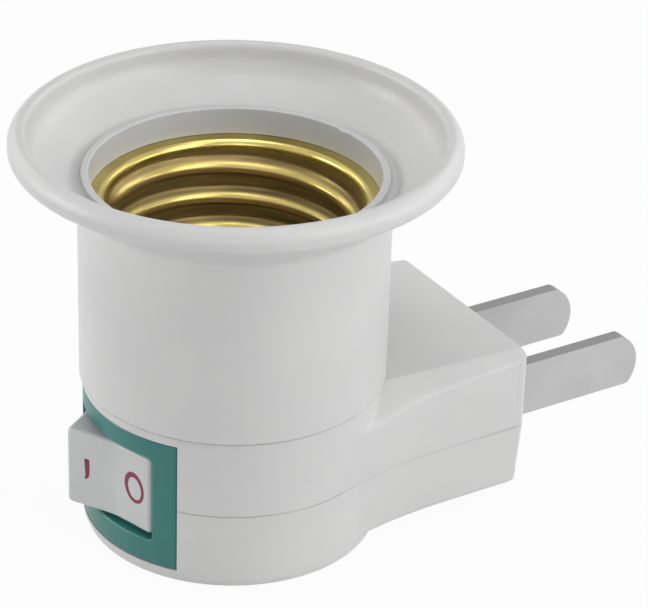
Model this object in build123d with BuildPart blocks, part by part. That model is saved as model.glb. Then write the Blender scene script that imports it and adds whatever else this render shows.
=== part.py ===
"""Plug-in lamp socket adapter with a rocker switch.

A screw lamp socket stands on a short round body, and an arm at the back of
the body carries two flat plug blades.  The origin is the centre of the foot,
+Z is up along the socket and +Y points out along the blades, so the switch
faces -Y.  All sizes are in millimetres.
"""
import os
from math import atan2, ceil, cos, degrees, pi, radians, sin, sqrt, tan

from build123d import *

os.makedirs("parts", exist_ok=True)

# Body
seam_step = 0.3
body_wall = 1.8
floor_thickness = 1.6
parting_z = 9.0
seam_z = 17.8
deck_thickness = 1.4
foot_fillet = 1.2

# Plug arm
arm_half_width = 13.2
arm_end_y = 29.4
arm_bottom_z = 1.4
arm_blend_radius = 50.0
arm_corner_radius = 1.0
arm_far_corner_radius = 2.5
arm_ridge_end_x = 11.49
arm_ridge_root_x = 10.0
arm_shoulder_end_drop = 1.54
arm_shoulder_root_drop = 5.6
arm_shoulder_root_y = 5.0
arm_draft = 4.0
arm_edge_fillet = 0.8
end_wall = 1.8

# Flared sleeve
sleeve_wall = 1.2
snap_reach = 0.15
snap_depth = 0.4
ring_wall = 0.9
ring_top_z = 41.0
flare_reach = 7.05
flare_root_z = 38.6
flare_cove = 1.6
flare_end_inset = 0.75
flare_end_z = 43.1
lip_bottom_z = 43.35
lip_shoulder_z = 45.0
lip_crest_inset = 1.78
lip_crest_z = 46.16
lip_round = 0.45
dish_corner_inset = 2.15
dish_corner_z = 43.0
dish_foot_z = 39.8
groove_round = 0.6
edge_break = 0.2
chord_angle = 46.0
spigot_height = 3.2
spigot_wall = 1.5
slip_gap = 0.1

# Screw shell, a rolled thread for lamp caps of 26.45 mm
thread_pitch = 3.629
thread_turns = 2.94
thread_start_angle = -94.8
thread_chords = 18
thread_depth = 1.05
shell_radius = 13.35
sheet = 0.4
shell_lip_z = 37.9
shell_lip_bend = 0.8
shell_lip_flat = 1.1
thread_start = 2.1

# Socket floor and centre contact
socket_floor_thickness = 2.2
rivet_radius = 0.8
rivet_head_radius = 1.5
rivet_head = 0.4
rivet_inset = 2.95
tongue_width = 5.0
tongue_rise = 2.9
tongue_reach = 5.6

# Plug blades, flat and parallel
blade_spacing = 12.7
blade_height = 6.35
blade_thickness = 1.5
blade_length = 19.6
blade_tip_top = 2.3
blade_tip_bottom = 1.0
blade_tip_round = 0.6
blade_tail = 10.4
blade_shoulder = 1.1
blade_shoulder_length = 1.5
blade_z = 9.05
blade_fit = 0.06
blade_seat_gap = 0.35
blade_hole_radius = 0.9
rib_thickness = 1.2
rib_y = 22.3

# Housing screws
screw_radius = 1.2
screw_head_radius = 2.2
screw_head = 1.5
screw_recess = 3.2
screw_tip_z = 13.6
boss_wall = 0.9
post_radius = 2.4
side_screw_inset = 5.5
side_screw_y = 3.0
arm_screw_y = 23.4
screw_fit = 0.08
drive_slot = 0.5

# Switch bezel
bezel_bottom_z = 1.75
bezel_top_z = 16.65
bezel_thickness = 1.1
bezel_inset = 0.05
bezel_fit = 0.1
opening_half_width = 7.47
opening_bottom_z = 4.45
opening_top_z = 14.35
frame_wall = 1.1
frame_depth = 3.13
frame_fit = 0.1
hook_reach = 0.6
hook_length = 1.2
opening_round = 0.5

# Rocker
hinge_inset = 4.67
rocker_tilt = 23.75
rocker_corner_u = 5.46
rocker_corner_v = 5.2
rocker_waist_v = 4.52
rocker_skirt_u = 6.67
rocker_skirt_v = -1.3
rocker_gap = 0.4
rocker_wall = 1.0
rocker_round = 0.45
rocker_fold = 8.0
pin_radius = 1.0
pin_fit = 0.05
pin_end_gap = 0.1
stem_radius = 1.7
stem_length = 4.4
bore_radius = 0.95
bore_top_v = 3.2

# Plunger and its spring
plunger_fit = 0.06
plunger_reach = 5.9
plunger_shoulder = 1.6
spring_wire = 0.3
spring_turns = 4.5
spring_fit = 0.1

# Moving contact, a V-shaped plate that rocks on the common terminal
contact_tilt = 14.0
wing_angle = 15.0
wing_length = 5.0
contact_plate = 0.5
contact_height = 4.0
contact_clearance = 0.27
contact_arm = 4.2
contact_head_radius = 1.3
contact_head = 0.5
contact_gap = 0.05
pivot_radius = 0.35
pivot_length = 0.9
eyelet_wall = 0.45

# Terminals and strips
strip = 0.5
strip_height = 5.0
terminal_thickness = 0.6
terminal_depth = 7.0
terminal_ear = 1.0
terminal_ear_reach = 1.0
terminal_gap = 0.1
strip_joint = 3.0
tongue_tab = 2.8
slot_fit = 0.15
post_x = 3.4
post_width = 3.4
holder_wall = 0.9

# Worked out from the sizes above
mouth_radius = shell_radius + shell_lip_bend + shell_lip_flat
sleeve_inner = mouth_radius - snap_reach
sleeve_radius = sleeve_inner + sleeve_wall
ring_radius = sleeve_inner + ring_wall
flare_radius = sleeve_radius + flare_reach
body_radius = sleeve_radius - seam_step
inner_radius = body_radius - body_wall
rivet_circle = shell_radius - rivet_inset
shell_flange_radius = rivet_circle - tongue_tab / 2
tab_y = rivet_circle - tongue_tab / 2
side_screw_x = body_radius - side_screw_inset
bezel_half_width = body_radius * 0.625
hinge_y = hinge_inset - body_radius
frame_depth_y = hinge_y + frame_depth
deck_z = seam_z - deck_thickness
switch_z = (opening_bottom_z + opening_top_z) / 2
spigot_radius = sleeve_inner - slip_gap
disc_z = seam_z + spigot_height
disc_top_z = disc_z + socket_floor_thickness
blade_x = blade_spacing / 2
blade_inner_face = blade_x - blade_thickness / 2
plunger_radius = bore_radius - plunger_fit
contact_y = (hinge_y + plunger_reach + plunger_radius
             + contact_plate / 2 + contact_clearance)
closed_turn = radians(contact_tilt - wing_angle)
closed_x = contact_arm * cos(closed_turn)
post_y = (contact_y + contact_arm * sin(closed_turn) + contact_plate / 2
          + 2 * contact_head + contact_gap)
bezel_outer = body_radius - bezel_inset
bezel_inner = bezel_outer - bezel_thickness
shelf_radius = bezel_inner - bezel_fit


def outline(inset):
    """Outline of body and arm seen from above, moved inwards by inset."""
    radius = body_radius - inset
    side = arm_half_width - inset
    end = arm_end_y - inset
    blend = arm_blend_radius + inset
    corner = max(arm_corner_radius - inset, 0.25)
    far_corner = max(arm_far_corner_radius - inset, 0.25)
    blend_y = sqrt((radius + blend) ** 2 - (side + blend) ** 2)
    share = radius / (radius + blend)
    tangent = ((side + blend) * share, blend_y * share)
    sweep_angle = degrees(atan2(tangent[1], tangent[0]))
    blend_start = degrees(atan2(-blend_y, -(side + blend))) % 360
    with BuildLine() as lines:
        CenterArc((0, 0), radius, 180 - sweep_angle, 180 + 2 * sweep_angle)
        CenterArc((side + blend, blend_y), blend, blend_start, 180 - blend_start)
        Line((side, blend_y), (side, end - corner))
        CenterArc((side - corner, end - corner), corner, 0, 90)
        Line((side - corner, end), (-side + far_corner, end))
        CenterArc((-side + far_corner, end - far_corner), far_corner, 90, 90)
        Line((-side, end - far_corner), (-side, blend_y))
        CenterArc((-side - blend, blend_y), blend, 0, 180 - blend_start)
    return lines.line


def rounded(corners):
    """Corner points (x, y, radius) with each rounding drawn as short chords."""
    points = []
    for index, (x, y, radius) in enumerate(corners):
        here = Vector(x, y)
        if not radius:
            points.append((x, y))
            continue
        back = (Vector(*corners[index - 1][:2]) - here).normalized()
        ahead = (Vector(*corners[(index + 1) % len(corners)][:2]) - here).normalized()
        half = radians(back.get_angle(ahead)) / 2
        centre = here + (back + ahead).normalized() * (radius / sin(half))
        first = here + back * (radius / tan(half)) - centre
        last = here + ahead * (radius / tan(half)) - centre
        start = atan2(first.Y, first.X)
        turn = (atan2(last.Y, last.X) - start + pi) % (2 * pi) - pi
        chords = 1 if radius <= edge_break else ceil(abs(degrees(turn)) / chord_angle)
        for step in range(chords + 1):
            angle = start + turn * step / chords
            points.append((centre.X + radius * cos(angle), centre.Y + radius * sin(angle)))
    return points


def wound(radius, pitch, turns, chords, angle, base):
    """Points of a right-handed winding on a plane's axis, a number of chords a turn."""
    points = []
    for step in range(round(turns * chords) + 1):
        at = radians(angle) + 2 * pi * step / chords
        spot = (radius * cos(at), radius * sin(at), pitch * step / chords)
        points.append(base.from_local_coords(spot))
    return points


def coil(corners, points, out):
    """Bar of the section with these corners, swept along a winding."""
    with BuildPart() as bar:
        with BuildLine() as line:
            Polyline(*points)
        with BuildSketch(Plane(origin=points[0], x_dir=out, z_dir=points[1] - points[0])):
            with BuildLine():
                Polyline(*corners, close=True)
            make_face()
        sweep(path=line.line, transition=Transition.RIGHT)
    return bar.part


def box_between(low, high, mode=Mode.ADD):
    """Box given by its lowest and highest corners."""
    size = [b - a for a, b in zip(low, high)]
    middle = tuple((a + b) / 2 for a, b in zip(low, high))
    with Locations(middle):
        Box(*size, mode=mode)


def disc_between(x, y, radius, low, high, mode=Mode.ADD):
    """Upright cylinder from one height to another."""
    with Locations((x, y, (low + high) / 2)):
        Cylinder(radius, high - low, mode=mode)


side_screws = [(-side_screw_x, side_screw_y), (side_screw_x, side_screw_y)]
arm_screw = (0, arm_screw_y)


def blade_slots():
    """Slots for both blades in the end wall and in the rib."""
    half = blade_thickness / 2 + blade_fit
    tall = blade_height / 2 + blade_fit
    for x in (-blade_x, blade_x):
        box_between((x - half, rib_y - 1, blade_z - tall),
                    (x + half, arm_end_y + 1, blade_z + tall), Mode.SUBTRACT)


# Stepped window that takes the bezel and the frame behind it
seat_wide = bezel_half_width + bezel_fit
frame_wide = opening_half_width + frame_wall + frame_fit
with BuildPart() as bezel_seat:
    with BuildSketch(Plane.XY.offset(bezel_bottom_z - bezel_fit)):
        Circle(body_radius + 1)
        Circle(shelf_radius, mode=Mode.SUBTRACT)
        with Locations((0, -body_radius)):
            Rectangle(2 * seat_wide, 2 * body_radius, mode=Mode.INTERSECT)
    extrude(amount=bezel_top_z - bezel_bottom_z + 2 * bezel_fit)
    box_between((-frame_wide, -body_radius, opening_bottom_z - frame_wall - frame_fit),
                (frame_wide, -inner_radius * 0.7, opening_top_z + frame_wall + frame_fit))

# Lower housing: floor, wall, screw posts and the lower half of the arm
with BuildPart() as lower_housing:
    with BuildSketch(Plane.XY.offset(parting_z)):
        make_face(outline(0).edges())
    extrude(amount=-(parting_z - arm_bottom_z), taper=arm_draft)
    arm_foot = lower_housing.faces().sort_by(Axis.Z)[0]
    fillet(arm_foot.edges(), arm_edge_fillet)
    with BuildSketch(Plane.XZ):
        with BuildLine():
            Polyline(*rounded([(0, 0, 0), (body_radius, 0, foot_fillet),
                               (body_radius, parting_z, 0), (0, parting_z, 0)]), close=True)
        make_face()
    revolve(axis=Axis.Z)
    with BuildSketch(Plane.XY.offset(parting_z)):
        Circle(inner_radius)
    extrude(amount=-(parting_z - floor_thickness), mode=Mode.SUBTRACT)
    with BuildSketch(Plane.XY.offset(parting_z)):
        make_face(outline(body_wall).edges())
    extrude(amount=-(parting_z - arm_bottom_z - floor_thickness), taper=arm_draft,
            mode=Mode.SUBTRACT)
    for x, y, base in [(*p, 0) for p in side_screws] + [(*arm_screw, arm_bottom_z)]:
        head_room = screw_head_radius + screw_fit * 2
        disc_between(x, y, head_room + boss_wall, base + foot_fillet, parting_z)
    box_between((-arm_half_width + body_wall / 2, rib_y, arm_bottom_z + floor_thickness / 2),
                (arm_half_width - body_wall / 2, rib_y + rib_thickness, parting_z))
    holder = terminal_thickness / 2 + holder_wall
    box_between((-holder, contact_y + 1.2, floor_thickness / 2),
                (holder, contact_y + terminal_depth - 1.5, parting_z - strip_height / 2))
    for x, y, base in [(*p, 0) for p in side_screws] + [(*arm_screw, arm_bottom_z)]:
        head_room = screw_head_radius + screw_fit * 2
        disc_between(x, y, head_room, base - 1, base + screw_recess, Mode.SUBTRACT)
        disc_between(x, y, screw_radius + screw_fit, base, parting_z + 1, Mode.SUBTRACT)
    box_between((-terminal_thickness / 2, contact_y, floor_thickness),
                (terminal_thickness / 2, contact_y + terminal_depth, parting_z), Mode.SUBTRACT)
    blade_slots()
    add(bezel_seat.part, mode=Mode.SUBTRACT)
lower_housing.part.label = "lower_housing"

# Upper housing: deck, spigot for the sleeve and the upper half of the arm
shoulders = ((-arm_end_y - 1, arm_ridge_end_x, arm_shoulder_end_drop),
             (-arm_shoulder_root_y, arm_ridge_root_x, arm_shoulder_root_drop))
with BuildPart() as upper_housing:
    with BuildSketch(Plane.XY.offset(parting_z)):
        make_face(outline(0).edges())
    extrude(amount=seam_z - parting_z)
    for side in (-1, 1):
        for offset, ridge_x, drop in shoulders:
            with BuildSketch(Plane.XZ.offset(offset)):
                with BuildLine():
                    Polyline((side * ridge_x, seam_z), (side * body_radius, seam_z),
                             (side * body_radius, seam_z - drop), close=True)
                make_face()
        loft(ruled=True, mode=Mode.SUBTRACT)
    disc_between(0, 0, body_radius, parting_z, seam_z)
    with BuildSketch(Plane.XY.offset(parting_z)):
        make_face(outline(body_wall).edges())
    extrude(amount=deck_z - parting_z, mode=Mode.SUBTRACT)
    disc_between(0, 0, spigot_radius, seam_z, disc_z)
    disc_between(0, 0, spigot_radius - spigot_wall, seam_z, disc_z, Mode.SUBTRACT)
    box_between((-arm_half_width + body_wall / 2, rib_y, parting_z),
                (arm_half_width - body_wall / 2, rib_y + rib_thickness, deck_z))
    for x, y in side_screws + [arm_screw]:
        disc_between(x, y, post_radius, parting_z, deck_z)
        disc_between(x, y, screw_radius + screw_fit, parting_z, screw_tip_z + 0.6, Mode.SUBTRACT)
    box_between((blade_inner_face - strip - slot_fit, tab_y - slot_fit, deck_z - 1),
                (blade_inner_face + slot_fit, tab_y + tongue_tab + slot_fit, seam_z + 1),
                Mode.SUBTRACT)
    box_between((post_x - slot_fit, post_y - slot_fit, deck_z - 1),
                (post_x + post_width + slot_fit, post_y + strip + slot_fit, seam_z + 1),
                Mode.SUBTRACT)
    blade_slots()
    add(bezel_seat.part, mode=Mode.SUBTRACT)
upper_housing.part.label = "upper_housing"

# Flared sleeve: one turning, from corners of radius, height and rounding.
# The lip of the shell snaps into the groove of its bore.
snap_high_z = shell_lip_z + slip_gap
snap_low_z = shell_lip_z - sheet - slip_gap
snap_radius = sleeve_inner + snap_depth
sleeve_corners = [
    (sleeve_inner, seam_z, 0),
    (sleeve_radius, seam_z, 0),
    (sleeve_radius, flare_root_z, flare_cove),
    (flare_radius - flare_end_inset, flare_end_z, 0),
    (flare_radius, lip_bottom_z, 0),
    (flare_radius, lip_shoulder_z, edge_break),
    (flare_radius - lip_crest_inset, lip_crest_z, lip_round),
    (flare_radius - dish_corner_inset, dish_corner_z, 0),
    (ring_radius, dish_foot_z, groove_round),
    (ring_radius, ring_top_z, edge_break),
    (sleeve_inner, ring_top_z, edge_break),
    (sleeve_inner, snap_high_z, 0),
    (snap_radius, snap_high_z, 0),
    (snap_radius, snap_low_z, 0),
    (sleeve_inner, snap_low_z, 0),
]
with BuildPart() as flared_sleeve:
    with BuildSketch(Plane.XZ):
        with BuildLine():
            Polyline(*rounded(sleeve_corners), close=True)
        make_face()
    revolve(axis=Axis.Z)
flared_sleeve.part.label = "flared_sleeve"

# Socket floor: an insulating disc that carries the shell and the contact
with BuildPart() as socket_floor:
    disc_between(0, 0, spigot_radius, disc_z, disc_top_z)
    for y in (-rivet_circle, 0, rivet_circle):
        disc_between(0, y, rivet_radius, disc_z - 1, disc_top_z + 1, Mode.SUBTRACT)
    edge = socket_floor.edges().filter_by(GeomType.CIRCLE).group_by(SortBy.RADIUS)[-1]
    chamfer(edge, 0.3)
socket_floor.part.label = "socket_floor"

# Screw shell: one rolled wall with a foot flange, a helical thread pressed
# inwards and a mouth turned outwards
hollow = thread_depth - sheet
root_half = thread_pitch * 0.3
root = sheet * 0.75
thread_ridge = [
    (root, -root_half), (-thread_depth, -root_half * 0.4), (-thread_depth, root_half * 0.4), (root, root_half),
]
hollow_half = root_half * 0.72
thread_hollow = [
    (sheet * 3, -hollow_half - sheet), (-hollow, -hollow_half * 0.4),
    (-hollow, hollow_half * 0.4), (sheet * 3, hollow_half + sheet),
]
thread_line = wound(shell_radius, thread_pitch, thread_turns, thread_chords, thread_start_angle,
                    Plane.XY.offset(disc_top_z + thread_start))
thread_out = (cos(radians(thread_start_angle)), sin(radians(thread_start_angle)), 0)
shell_corners = [
    (shell_flange_radius, disc_top_z, 0),
    (shell_radius + sheet, disc_top_z, 0),
    (shell_radius + sheet, shell_lip_z - sheet, shell_lip_bend - sheet),
    (mouth_radius, shell_lip_z - sheet, 0),
    (mouth_radius, shell_lip_z, 0),
    (shell_radius, shell_lip_z, shell_lip_bend),
    (shell_radius, disc_top_z + sheet, 0),
    (shell_flange_radius, disc_top_z + sheet, 0),
]
with BuildPart() as screw_shell:
    with BuildSketch(Plane.XZ):
        with BuildLine():
            Polyline(*rounded(shell_corners), close=True)
        make_face()
    revolve(axis=Axis.Z)
    add(coil(thread_ridge, thread_line, thread_out))
    add(coil(thread_hollow, thread_line, thread_out), mode=Mode.SUBTRACT)
    for y in (-rivet_circle, rivet_circle):
        disc_between(0, y, rivet_radius, disc_top_z - 1, disc_top_z + 1, Mode.SUBTRACT)
screw_shell.part.label = "screw_shell"

# Centre contact: a sprung tongue bent back over its own foot
tongue_z = disc_top_z + sheet / 2
bend = tongue_rise / 2
with BuildPart() as centre_contact:
    with BuildSketch(Plane.XZ.offset(-tongue_width / 2)):
        with BuildLine() as tongue_line:
            sole = Line((tongue_reach * 0.4, tongue_z), (-tongue_reach + bend, tongue_z))
            turn = CenterArc((-tongue_reach + bend, tongue_z + bend), bend, 270, -150)
            leaf = Line(turn @ 1, (-0.8, tongue_z + tongue_rise + 0.5))
            RadiusArc(leaf @ 1, (tongue_reach * 0.5, tongue_z + tongue_rise - 0.5), 3.0)
        trace(line_width=sheet)
    extrude(amount=tongue_width)
    disc_between(0, 0, rivet_radius, disc_top_z - 1, disc_top_z + 1, Mode.SUBTRACT)
centre_contact.part.label = "centre_contact"

# Rivets through the socket floor
flange_z = disc_z - strip


def floor_rivet(x, y, low, high):
    """Rivet with a head on top and a tail formed under the strip."""
    disc_between(x, y, rivet_radius, low, high)
    disc_between(x, y, rivet_head_radius, high, high + rivet_head)
    disc_between(x, y, rivet_head_radius * 0.85, low - rivet_head, low)


with BuildPart() as shell_rivets:
    floor_rivet(0, rivet_circle, flange_z, disc_top_z + sheet)
    floor_rivet(0, -rivet_circle, disc_z, disc_top_z + sheet)
shell_rivets.part.label = "shell_rivets"

with BuildPart() as centre_rivet:
    floor_rivet(0, 0, flange_z, disc_top_z + sheet)
centre_rivet.part.label = "centre_rivet"


# Plug blades: flat bars with rounded tips and a shoulder behind the wall
def plug_blade(name, x):
    """One blade, from its solder tail to its tip."""
    tip_y = arm_end_y + blade_length
    tail_y = arm_end_y - blade_tail
    shoulder_y = arm_end_y - end_wall - blade_seat_gap
    low = blade_z - blade_height / 2
    high = blade_z + blade_height / 2
    with BuildPart() as blade:
        with BuildSketch(Plane.YZ.offset(x - blade_thickness / 2)):
            with BuildLine():
                Polyline((tip_y - blade_tip_bottom, low), (tail_y, low), (tail_y, high),
                         (tip_y - blade_tip_top, high))
                ThreePointArc((tip_y - blade_tip_top, high), (tip_y, blade_z),
                              (tip_y - blade_tip_bottom, low))
            make_face()
        extrude(amount=blade_thickness)
        fillet(blade.edges().filter_by(Axis.X).group_by(Axis.Y)[-2:], blade_tip_round)
        reach = blade_height / 2 + blade_shoulder
        box_between((x - blade_thickness / 2, shoulder_y - blade_shoulder_length, blade_z - reach),
                    (x + blade_thickness / 2, shoulder_y, blade_z + reach))
        with Locations(Location((x, tail_y + 2.0, blade_z), (0, 90, 0))):
            Cylinder(blade_hole_radius, blade_thickness * 2, mode=Mode.SUBTRACT)
    blade.part.label = name
    return blade.part


blades = [plug_blade("blade_left", -blade_x), plug_blade("blade_right", blade_x)]

# Housing screws with slotted pan heads, entered from below
with BuildPart() as housing_screws:
    for x, y, base in [(*p, 0) for p in side_screws] + [(*arm_screw, arm_bottom_z)]:
        seat = base + screw_recess
        disc_between(x, y, screw_radius, seat, screw_tip_z)
        disc_between(x, y, screw_head_radius, seat - screw_head, seat)
        box_between((x - screw_head_radius, y - drive_slot / 2, seat - screw_head),
                    (x + screw_head_radius, y + drive_slot / 2, seat - screw_head + drive_slot * 1.4),
                    Mode.SUBTRACT)
housing_screws.part.label = "housing_screws"

# Switch bezel: curved plate with a frame behind its opening
with BuildPart() as switch_bezel:
    with BuildSketch(Plane.XY.offset(bezel_bottom_z)):
        Circle(bezel_outer)
        Circle(bezel_inner, mode=Mode.SUBTRACT)
        with Locations((0, -body_radius)):
            Rectangle(2 * bezel_half_width, 2 * body_radius, mode=Mode.INTERSECT)
    extrude(amount=bezel_top_z - bezel_bottom_z)
    with BuildSketch(Plane.XY.offset(opening_bottom_z - frame_wall)):
        Circle(bezel_outer - bezel_thickness / 2)
        front = body_radius + frame_depth_y
        with Locations((0, frame_depth_y - front / 2)):
            Rectangle(2 * (opening_half_width + frame_wall), front, mode=Mode.INTERSECT)
    extrude(amount=opening_top_z - opening_bottom_z + 2 * frame_wall)
    hook_y = -sqrt(inner_radius ** 2 - (opening_half_width + frame_wall + hook_reach) ** 2) + 0.15
    with BuildSketch(Plane.XY.offset(switch_z - frame_wall * 2)):
        for side in (-1, 1):
            root = side * (opening_half_width + frame_wall - 0.2)
            tip = side * (opening_half_width + frame_wall + hook_reach)
            with BuildLine():
                Polyline((root, hook_y), (tip, hook_y), (root, hook_y + hook_length), close=True)
            make_face()
    extrude(amount=frame_wall * 4)
    with BuildSketch(Plane.XZ):
        with Locations((0, switch_z)):
            RectangleRounded(2 * opening_half_width, opening_top_z - opening_bottom_z,
                             opening_round)
    extrude(amount=body_radius + 1, mode=Mode.SUBTRACT)
    disc_between(0, hinge_y, pin_radius + pin_fit, opening_bottom_z - 2 * frame_wall,
                 opening_top_z + 2 * frame_wall, Mode.SUBTRACT)
switch_bezel.part.label = "switch_bezel"

# Rocker: hollow cap with a dished face, a stem for the plunger and two pins.
# It is drawn square to the hinge and stands at its off angle.
rest_turn = radians(rocker_tilt)
rocker_low = opening_bottom_z + rocker_gap
rocker_high = opening_top_z - rocker_gap


def rocker_plane(z):
    """Plane across the hinge, x along the face and y into the body."""
    return Plane(origin=(0, hinge_y, z), x_dir=(cos(rest_turn), sin(rest_turn), 0), z_dir=(0, 0, 1))


def rocker_section(inset):
    """Section of the cap: folded face, flared ends and an open back."""
    u = rocker_corner_u - inset
    v = rocker_corner_v - inset
    skirt = rocker_skirt_u - inset
    low_v = -rocker_skirt_v + (1 if inset else 0)
    rounding = 0 if inset else rocker_round
    low_u = skirt + (skirt - u) / v * low_v * 0.3
    with BuildLine() as lines:
        FilletPolyline((-u, -v), (0, -(rocker_waist_v - inset)), (u, -v), (low_u, low_v),
                       (-low_u, low_v), close=True,
                       radius=[rounding, rocker_fold, rounding, 0, 0])
    return lines.line


with BuildPart() as rocker:
    with BuildSketch(rocker_plane(rocker_low)):
        make_face(rocker_section(0).edges())
    extrude(amount=rocker_high - rocker_low)
    with BuildSketch(rocker_plane(rocker_low + rocker_wall)):
        make_face(rocker_section(rocker_wall).edges())
    extrude(amount=rocker_high - rocker_low - 2 * rocker_wall, mode=Mode.SUBTRACT)
    stem_plane = Plane(origin=(0, hinge_y, switch_z), x_dir=(cos(rest_turn), sin(rest_turn), 0),
                       z_dir=(-sin(rest_turn), cos(rest_turn), 0))
    with BuildSketch(stem_plane.offset(-(rocker_waist_v - rocker_wall / 2))):
        Circle(stem_radius)
    extrude(amount=rocker_waist_v - rocker_wall / 2 + stem_length)
    with BuildSketch(stem_plane.offset(-bore_top_v)):
        Circle(bore_radius)
    extrude(amount=bore_top_v + stem_length + 1, mode=Mode.SUBTRACT)
    for low, high in ((rocker_high, opening_top_z + frame_wall - pin_end_gap),
                      (opening_bottom_z - frame_wall + pin_end_gap, rocker_low)):
        disc_between(0, hinge_y, pin_radius, low, high)
rocker.part.label = "rocker"

# Plunger: a pin with a domed nose, pushed on to the contact plate
with BuildPart() as plunger:
    with BuildSketch(stem_plane.offset(plunger_shoulder)):
        Circle(plunger_radius)
    extrude(amount=plunger_reach - plunger_shoulder)
    with Locations(stem_plane.offset(plunger_reach).origin):
        Sphere(plunger_radius)
plunger.part.label = "plunger"

# Spring that pushes the plunger
spring_radius = plunger_radius - spring_wire / 2 - spring_fit / 2
spring_base = stem_plane.offset(-bore_top_v + spring_wire / 2 + pin_fit)
spring_height = bore_top_v + plunger_shoulder - spring_wire - 2 * pin_fit
spring_line = wound(spring_radius, spring_height / spring_turns, spring_turns, 12, 0, spring_base)
wire_section = [(spring_wire / 2 * cos(radians(60 * k)), spring_wire / 2 * sin(radians(60 * k)))
                for k in range(6)]
plunger_spring = coil(wire_section, spring_line, spring_base.x_dir)
plunger_spring.label = "plunger_spring"

# Moving contact: V-shaped plate at its off angle, with a pivot at each end of its fold
off_turn = radians(-contact_tilt)
contact_low = switch_z - contact_height / 2
contact_plane = Plane(origin=(0, contact_y, contact_low),
                      x_dir=(cos(off_turn), sin(off_turn), 0), z_dir=(0, 0, 1))
wing_x = wing_length * cos(radians(wing_angle))
wing_y = wing_length * sin(radians(wing_angle))
with BuildPart() as moving_contact:
    with BuildSketch(contact_plane):
        with BuildLine():
            Polyline((-wing_x, -wing_y), (0, 0), (wing_x, -wing_y))
        trace(line_width=contact_plate)
    extrude(amount=contact_height)
    disc_between(0, contact_y, pivot_radius, contact_low - pivot_length,
                 contact_low + contact_height + pivot_length)
moving_contact.part.label = "moving_contact"

# Contact heads: one riveted to the right wing, one to the fixed terminal
wing_turn = off_turn - radians(wing_angle)
wing_dir = (cos(wing_turn), sin(wing_turn), 0)
wing_normal = (-sin(wing_turn), cos(wing_turn), 0)
head_origin = (contact_arm * wing_dir[0] + contact_plate / 2 * wing_normal[0],
               contact_y + contact_arm * wing_dir[1] + contact_plate / 2 * wing_normal[1], switch_z)
with BuildPart() as moving_contact_head:
    with BuildSketch(Plane(origin=head_origin, x_dir=wing_dir, z_dir=wing_normal)):
        Circle(contact_head_radius)
    extrude(amount=contact_head)
moving_contact_head.part.label = "moving_contact_head"

with BuildPart() as fixed_contact_head:
    with BuildSketch(Plane.XZ.offset(-post_y)):
        with Locations((closed_x, switch_z)):
            Circle(contact_head_radius)
    extrude(amount=contact_head)
fixed_contact_head.part.label = "fixed_contact_head"

# Fixed terminal: upright strip that folds over to the centre rivet
with BuildPart() as fixed_terminal:
    box_between((post_x, post_y, contact_low - 0.6), (post_x + post_width, post_y + strip, disc_z))
    box_between((-rivet_head_radius - 0.4, min(post_y, -rivet_head_radius), flange_z),
                (post_x + post_width, rivet_head_radius + 0.8, disc_z))
    disc_between(0, 0, rivet_radius, flange_z - 1, disc_z + 1, Mode.SUBTRACT)
fixed_terminal.part.label = "fixed_terminal"

# Common terminal: upright plate with two ears that hold the pivots of the contact
knife_y = contact_y + pivot_radius + pin_fit
with BuildPart() as common_terminal:
    half = contact_height / 2 + terminal_gap
    ear_tip = contact_y - terminal_ear_reach
    with BuildSketch(Plane.YZ.offset(-terminal_thickness / 2)):
        with BuildLine():
            Polyline((knife_y, switch_z - half), (knife_y, switch_z + half),
                     (ear_tip, switch_z + half), (ear_tip, switch_z + half + terminal_ear),
                     (knife_y + terminal_depth, switch_z + half + terminal_ear),
                     (knife_y + terminal_depth, parting_z - strip_height / 2),
                     (contact_y + terminal_depth - 1.6, parting_z - strip_height / 2),
                     (contact_y + terminal_depth - 1.6, floor_thickness),
                     (contact_y + 1.6, floor_thickness),
                     (contact_y + 1.6, switch_z - half - terminal_ear),
                     (ear_tip, switch_z - half - terminal_ear),
                     (ear_tip, switch_z - half), close=True)
        make_face()
    extrude(amount=terminal_thickness)
    for low in (switch_z - half - terminal_ear, switch_z + half):
        disc_between(0, contact_y, pivot_radius + eyelet_wall, low, low + terminal_ear)
    disc_between(0, contact_y, pivot_radius + pin_fit, switch_z - half - terminal_ear - 1,
                 switch_z + half + terminal_ear + 1, Mode.SUBTRACT)
common_terminal.part.label = "common_terminal"

# Line strip: from the common terminal to the left blade
line_x = -terminal_thickness / 2 - strip / 2
line_end_x = -blade_inner_face + strip / 2
line_low = blade_z - strip_height / 2
with BuildPart() as line_strip:
    with BuildSketch(Plane.XY.offset(line_low)):
        with BuildLine():
            FilletPolyline((line_x, contact_y + terminal_depth - strip_joint),
                           (line_x, contact_y + terminal_depth + 2.0),
                           (line_end_x, arm_end_y - blade_tail - 3.5),
                           (line_end_x, arm_end_y - blade_tail + strip_joint - 0.2), radius=1.0)
        trace(line_width=strip)
    extrude(amount=strip_height)
line_strip.part.label = "line_strip"

# Neutral strip: from the right blade up through the deck to the shell rivet
tab_x = blade_inner_face - strip
with BuildPart() as neutral_strip:
    box_between((tab_x, tab_y, line_low),
                (blade_inner_face, arm_end_y - blade_tail + strip_joint - 0.2, line_low + strip_height))
    box_between((tab_x, tab_y, line_low), (blade_inner_face, tab_y + tongue_tab, disc_z))
    box_between((-rivet_head_radius, tab_y, flange_z), (blade_inner_face, tab_y + tongue_tab, disc_z))
    disc_between(0, rivet_circle, rivet_radius, flange_z - 1, disc_z + 1, Mode.SUBTRACT)
neutral_strip.part.label = "neutral_strip"

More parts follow.
